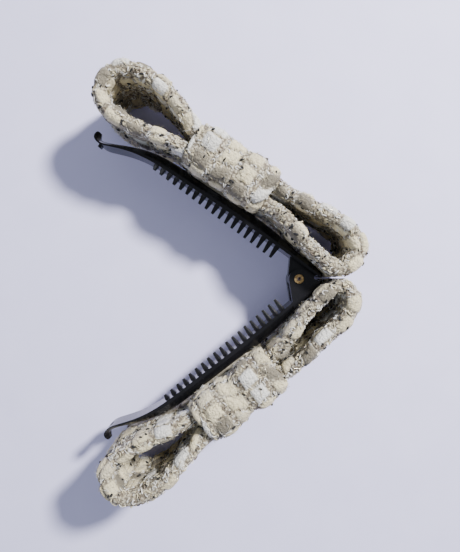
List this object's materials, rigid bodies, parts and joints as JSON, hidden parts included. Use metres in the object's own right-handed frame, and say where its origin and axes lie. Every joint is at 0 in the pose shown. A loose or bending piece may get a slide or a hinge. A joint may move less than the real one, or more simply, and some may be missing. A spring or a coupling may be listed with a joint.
{
  "type": "banana hair clip with bows",
  "caption": "Banana hair clip: hinged comb arms with curled finger tabs and a looped tweed bow glued along the back of each arm.",
  "frame": {"origin": "middle of the bounding box at the level that the bows' lower ribbon edges stand on", "axes": "+Z along the hinge axis, away from the surface that the open clip lies on; +X towards the hinge; +Y towards the tongue arm"},
  "size_m": [0.1246, 0.198, 0.045],
  "materials": {
    "clip_plastic": "glossy moulded black",
    "rivet_brass": "polished",
    "tweed": "chunky cream and taupe tweed with black flecks",
    "thread": "cream sewing thread",
    "hot_melt": "milky hot-melt glue"
  },
  "bodies": {
    "fork_half": {"fork_arm": "clip_plastic", "hinge_rivet": "rivet_brass", "fork_bow_loops": "tweed", "fork_bow_wrap": "tweed", "fork_bow_thread": "thread", "fork_bow_glue": "hot_melt"},
    "tongue_half": {"tongue_arm": "clip_plastic", "tongue_bow_loops": "tweed", "tongue_bow_wrap": "tweed", "tongue_bow_thread": "thread", "tongue_bow_glue": "hot_melt"}
  },
  "joints": [
    {"name": "clip_hinge", "type": "hinge", "parent": "fork_half", "child": "tongue_half", "pos_m": [0.03368, -0.0004, 0.0225], "axis": [0, 0, 1], "range_deg": [0, 71.6]}
  ]
}
